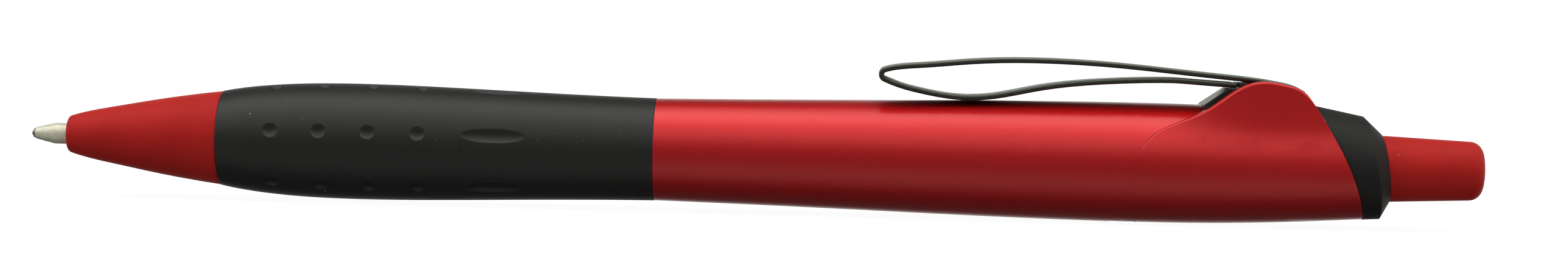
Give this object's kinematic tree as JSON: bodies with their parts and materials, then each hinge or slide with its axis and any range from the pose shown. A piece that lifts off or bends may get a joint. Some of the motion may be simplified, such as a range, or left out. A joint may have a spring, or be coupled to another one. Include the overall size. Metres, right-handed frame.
{
  "type": "retractable ballpoint pen",
  "caption": "Retractable ballpoint pen with a dimpled rubber grip, looped strip pocket clip, slanted end cap and push button.",
  "frame": {"origin": "front of the writing ball on the pen's axis, with the point extended", "axes": "+X along the pen's axis from the writing point to the push button, +Z to the clip side, +Y across"},
  "size_m": [0.1431, 0.0118, 0.016],
  "materials": {
    "red_lacquer": "satin metallic lacquer",
    "red_plastic": "satin",
    "grip_rubber": "matt soft-touch",
    "black_plastic": "satin",
    "black_gloss": "semi-gloss",
    "clip_finish": "dark coated, semi-gloss",
    "white_plastic": "moulded",
    "grey_plastic": "moulded",
    "refill_plastic": "translucent tube",
    "nickel_silver": "turned, fine tool marks",
    "ball_carbide": "polished",
    "ink": "wet",
    "grease": "clear",
    "spring_steel": "drawn wire"
  },
  "bodies": {
    "root": {"nose_cone": "red_plastic", "grip_sleeve": "grip_rubber", "lower_barrel": "black_plastic", "barrel": "red_lacquer", "end_cap": "black_plastic", "clip_block": "black_gloss", "cam_sleeve": "white_plastic", "return_spring": "spring_steel"},
    "clip": {"clip": "clip_finish"},
    "button": {"push_button": "red_plastic", "plunger": "white_plastic"},
    "refill": {"refill_tube": "refill_plastic", "tip_holder": "white_plastic", "writing_tip": "nickel_silver", "ink": "ink", "ink_follower": "grease"},
    "rotor": {"cam_rotor": "grey_plastic"},
    "ball": {"writing_ball": "ball_carbide"}
  },
  "joints": [
    {"name": "button_press", "type": "slide", "parent": "root", "child": "button", "axis": [1, 0, 0], "range_m": [-0.0015, 0.005]},
    {"name": "refill_feed", "type": "slide", "parent": "root", "child": "refill", "axis": [1, 0, 0], "range_m": [-0.0015, 0.005], "deforming": ["return_spring"]},
    {"name": "rotor_index", "type": "hinge", "parent": "refill", "child": "rotor", "pos_m": [0.11, 0, 0], "axis": [1, 0, 0], "continuous": true},
    {"name": "clip_flex", "type": "hinge", "parent": "root", "child": "clip", "pos_m": [0.126, 0, 0.0065], "axis": [0, 1, 0], "range_deg": [0, 5], "stiffness_Nm_per_rad": 1.2},
    {"name": "ball_roll", "type": "hinge", "parent": "refill", "child": "ball", "pos_m": [0.00035, 0, 0], "axis": [0, 1, 0], "continuous": true}
  ],
  "couplings": [
    {"joint": "refill_feed", "follows": "button_press", "ratio": 1}
  ]
}
